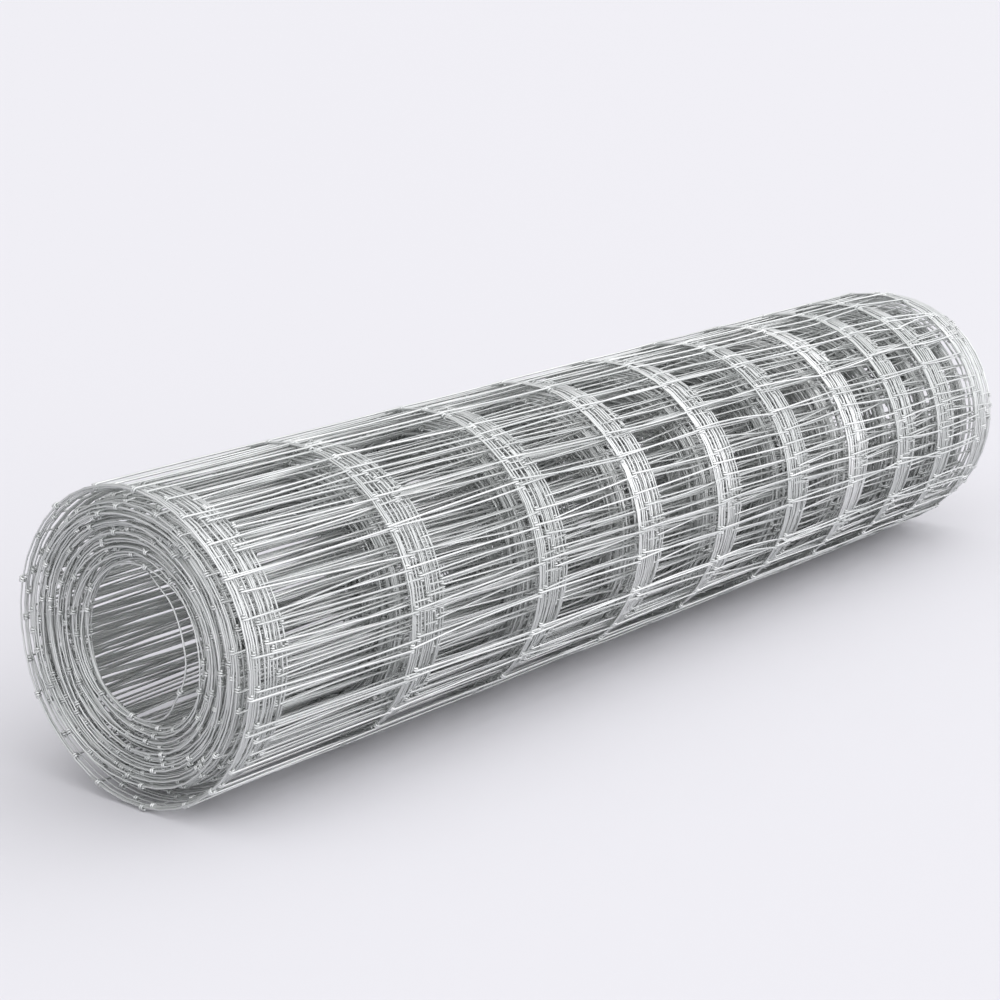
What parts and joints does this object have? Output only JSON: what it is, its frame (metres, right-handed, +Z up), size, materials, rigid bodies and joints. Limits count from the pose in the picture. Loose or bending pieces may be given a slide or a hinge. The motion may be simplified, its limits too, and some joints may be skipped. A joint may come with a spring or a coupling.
{
  "type": "roll of wire fencing",
  "caption": "Roll of galvanised hinge-joint field fence, lying on its side, wound round an open bore.",
  "frame": {"origin": "on the floor below the middle of the roll: the middle of the bounding box's bottom face", "axes": "+X along the roll, from the edge with the widest gaps between line wires to the edge with the closest; +Z up from the floor; +Y across the roll"},
  "size_m": [1.2432, 0.28, 0.2799],
  "materials": {
    "wire": "hot-dip galvanised, bright, with light dulling"
  },
  "bodies": {
    "root": {"fence_roll": "wire"}
  },
  "joints": []
}
